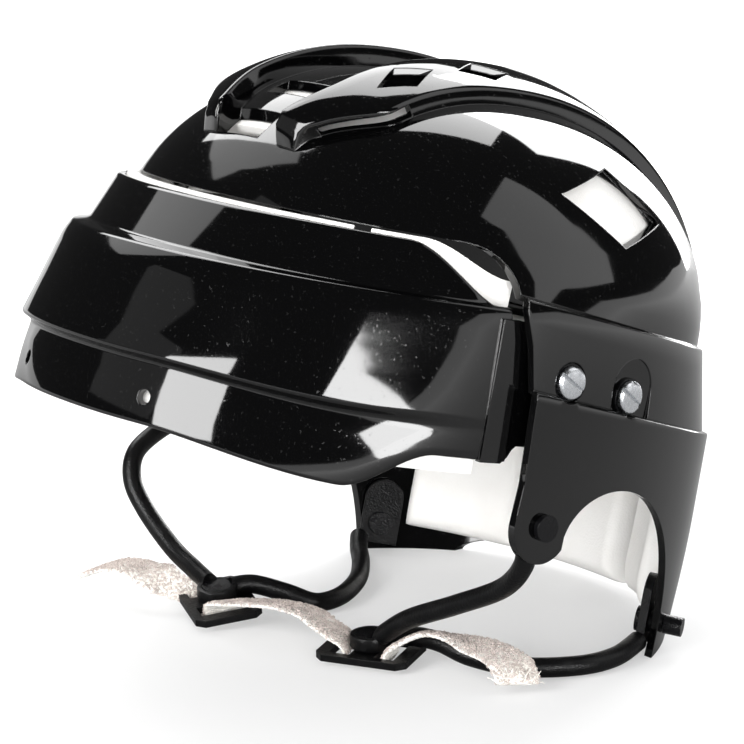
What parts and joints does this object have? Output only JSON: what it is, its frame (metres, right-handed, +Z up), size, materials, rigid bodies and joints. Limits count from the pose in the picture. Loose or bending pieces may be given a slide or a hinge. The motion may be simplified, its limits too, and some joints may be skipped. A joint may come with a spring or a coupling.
{
  "type": "ice hockey helmet",
  "caption": "Two-piece sports helmet: ribbed, vented rear shell, stepped sliding brim shell, foam liner, and a chin harness of jaw loops, turning buckles and a cotton strap.",
  "frame": {"origin": "middle of the bounding box at its base, on the table the helmet stands on", "axes": "+Z up, -Y towards the front of the helmet, +X towards the wearer's left; the shells are tipped back by 12 degrees as the helmet stands"},
  "size_m": [0.2248, 0.2512, 0.2095],
  "materials": {
    "black_shell": "gloss",
    "zinc": "bright",
    "black_soft": "satin",
    "foam": "matt",
    "cotton": "knitted"
  },
  "bodies": {
    "rear_shell_body": {"rear_shell": "black_shell", "clamp_screws": "zinc", "screw_washers": "black_soft", "clamp_nuts": "zinc", "crown_pad": "foam", "left_side_pad": "foam", "right_side_pad": "foam", "nape_pad": "foam", "left_rear_pad": "foam", "right_rear_pad": "foam", "front_loop_rivets": "black_soft", "rear_loop_rivets": "black_soft", "chin_strap_middle": "cotton"},
    "front_shell_body": {"front_shell": "black_shell", "forehead_pad": "foam", "left_temple_pad": "foam", "right_temple_pad": "foam"},
    "left_loop": {"left_jaw_loop": "black_soft", "left_buckle_rivet": "black_soft"},
    "right_loop": {"right_jaw_loop": "black_soft", "right_buckle_rivet": "black_soft"},
    "left_buckle_body": {"left_buckle": "black_soft", "left_strap_tail": "cotton"},
    "right_buckle_body": {"right_buckle": "black_soft", "right_strap_tail": "cotton"}
  },
  "joints": [
    {"name": "front_shell_slide", "type": "slide", "parent": "rear_shell_body", "child": "front_shell_body", "axis": [0, 0.9781, -0.2079], "range_m": [-0.006, 0.006]},
    {"name": "left_loop_swing", "type": "hinge", "parent": "rear_shell_body", "child": "left_loop", "pos_m": [0.07986, 0.06863, 0.01053], "axis": [0.2718, -0.7871, 0.5536], "range_deg": [-4, 4], "deforming": ["chin_strap_middle"]},
    {"name": "right_loop_swing", "type": "hinge", "parent": "rear_shell_body", "child": "right_loop", "pos_m": [-0.07986, 0.06863, 0.01053], "axis": [-0.2718, -0.7871, 0.5536], "range_deg": [-4, 4], "deforming": ["chin_strap_middle"]},
    {"name": "left_buckle_turn", "type": "hinge", "parent": "left_loop", "child": "left_buckle_body", "pos_m": [0.0285, -0.0188, 0.008], "axis": [0.0262, -0.0453, 0.9986], "range_deg": [-8, 8], "deforming": ["chin_strap_middle"]},
    {"name": "right_buckle_turn", "type": "hinge", "parent": "right_loop", "child": "right_buckle_body", "pos_m": [-0.044, -0.0338, 0.0102], "axis": [0.0643, -0.1327, 0.9891], "range_deg": [-8, 8], "deforming": ["chin_strap_middle"]}
  ]
}
